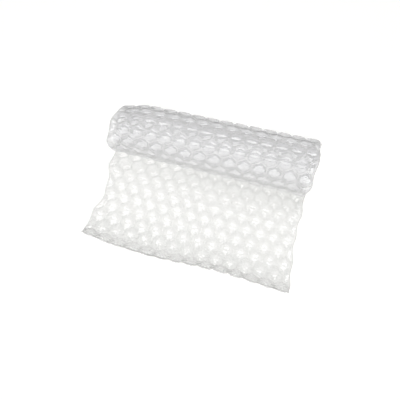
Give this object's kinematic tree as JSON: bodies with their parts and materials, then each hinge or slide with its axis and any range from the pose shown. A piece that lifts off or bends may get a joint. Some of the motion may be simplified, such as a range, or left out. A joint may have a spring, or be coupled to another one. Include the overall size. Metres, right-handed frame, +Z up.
{
  "type": "air pillow film roll",
  "caption": "Loose roll of clear quilted air pillow film with its free end laid out flat, honeycomb of inflated pillows sealed between two webs.",
  "frame": {"origin": "middle of the whole footprint, on the plane the film lies on", "axes": "+X along the roll, -Y towards the free end of the film, +Z up"},
  "size_m": [0.3892, 0.2832, 0.1198],
  "materials": {
    "film": "thin translucent polyethylene film, glossy, softly wrinkled round each air pillow"
  },
  "bodies": {
    "root": {"cushion_film": "film"}
  },
  "joints": []
}
